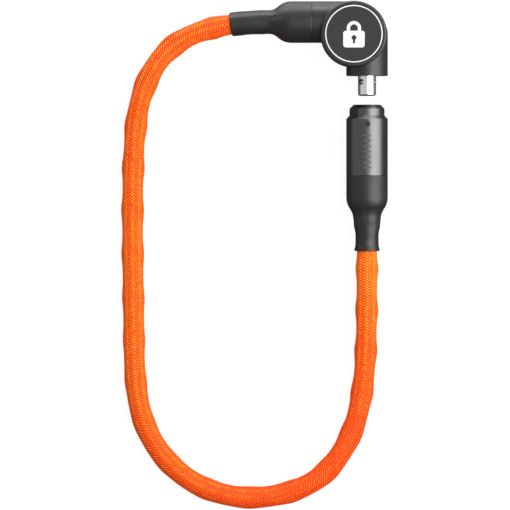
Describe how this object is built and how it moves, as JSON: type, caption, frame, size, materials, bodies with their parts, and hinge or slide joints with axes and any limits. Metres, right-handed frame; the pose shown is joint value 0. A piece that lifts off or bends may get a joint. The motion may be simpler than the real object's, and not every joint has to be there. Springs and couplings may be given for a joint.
{
  "type": "bicycle lock",
  "caption": "Flexible bike lock: a textile-sleeved chain rope from a keyed drum head with a steel ball-lock bolt to a plug-on barrel.",
  "frame": {"origin": "centre of the drum's back face, on the key cylinder's axis and on the surface that the lock lies on", "axes": "+Z out of the badge, along the key cylinder's axis; +Y from the barrel towards the head, along the bolt; the arm leaves the drum along -X"},
  "size_m": [0.1789, 0.3413, 0.031],
  "materials": {
    "black_paint": "satin black coating",
    "black_anodised": "satin black anodised",
    "badge_grey": "matte",
    "white_print": "matte white",
    "hard_steel": "polished",
    "plain_steel": "turned",
    "zinc_steel": "zinc plated",
    "brass": "turned",
    "sleeve_rubber": "matte moulded",
    "bumper_rubber": "matte",
    "rope_fabric": "braided polyester",
    "liner_plastic": "matte"
  },
  "bodies": {
    "head": {"lock_housing": "black_paint", "inner_cover": "plain_steel", "cover_screws": "zinc_steel", "badge_plate": "badge_grey", "badge_mark": "white_print", "badge_ring": "white_print", "cylinder_shell": "brass", "lock_bolt": "hard_steel", "bolt_dowel": "plain_steel", "head_anchor_pin": "plain_steel", "head_ferrule": "zinc_steel", "head_sleeve": "sleeve_rubber", "rope_sheath": "rope_fabric", "rope_liner": "liner_plastic", "core_chain": "zinc_steel"},
    "key_cylinder": {"key_plug": "brass", "guard_disc": "hard_steel", "detainer_discs": "brass", "disc_spacers": "brass", "sidebar": "plain_steel", "drive_cam": "plain_steel"},
    "driver": {"ball_driver": "plain_steel"},
    "ball_1": {"locking_ball_1": "hard_steel"},
    "ball_2": {"locking_ball_2": "hard_steel"},
    "ball_3": {"locking_ball_3": "hard_steel"},
    "barrel": {"barrel_shell": "black_anodised", "ball_cup": "plain_steel", "cup_screw": "zinc_steel", "bolt_bumper": "bumper_rubber", "anchor_plug": "plain_steel", "barrel_anchor_pin": "plain_steel", "barrel_ferrule": "zinc_steel", "barrel_sleeve": "sleeve_rubber"}
  },
  "joints": [
    {"name": "barrel_slide", "type": "slide", "parent": "head", "child": "barrel", "axis": [0, 1, 0], "range_m": [0, 0.0264], "deforming": ["rope_sheath", "rope_liner", "core_chain"]},
    {"name": "key_turn", "type": "hinge", "parent": "head", "child": "key_cylinder", "pos_m": [0, 0, 0.008], "axis": [0, 0, -1], "range_deg": [0, 90]},
    {"name": "driver_slide", "type": "slide", "parent": "head", "child": "driver", "axis": [0, -1, 0], "range_m": [0, 0.00424]},
    {"name": "ball_1_slide", "type": "slide", "parent": "head", "child": "ball_1", "axis": [-0.6691, 0, 0.7431], "range_m": [0, 0.00091]},
    {"name": "ball_2_slide", "type": "slide", "parent": "head", "child": "ball_2", "axis": [0.9781, 0, 0.2079], "range_m": [0, 0.00091]},
    {"name": "ball_3_slide", "type": "slide", "parent": "head", "child": "ball_3", "axis": [-0.309, 0, -0.9511], "range_m": [0, 0.00091]}
  ],
  "couplings": [
    {"joint": "key_turn", "follows": "driver_slide", "rad_per_m": 370.2},
    {"joint": "ball_1_slide", "follows": "driver_slide", "ratio": 0.21213},
    {"joint": "ball_2_slide", "follows": "driver_slide", "ratio": 0.21213},
    {"joint": "ball_3_slide", "follows": "driver_slide", "ratio": 0.21213}
  ]
}
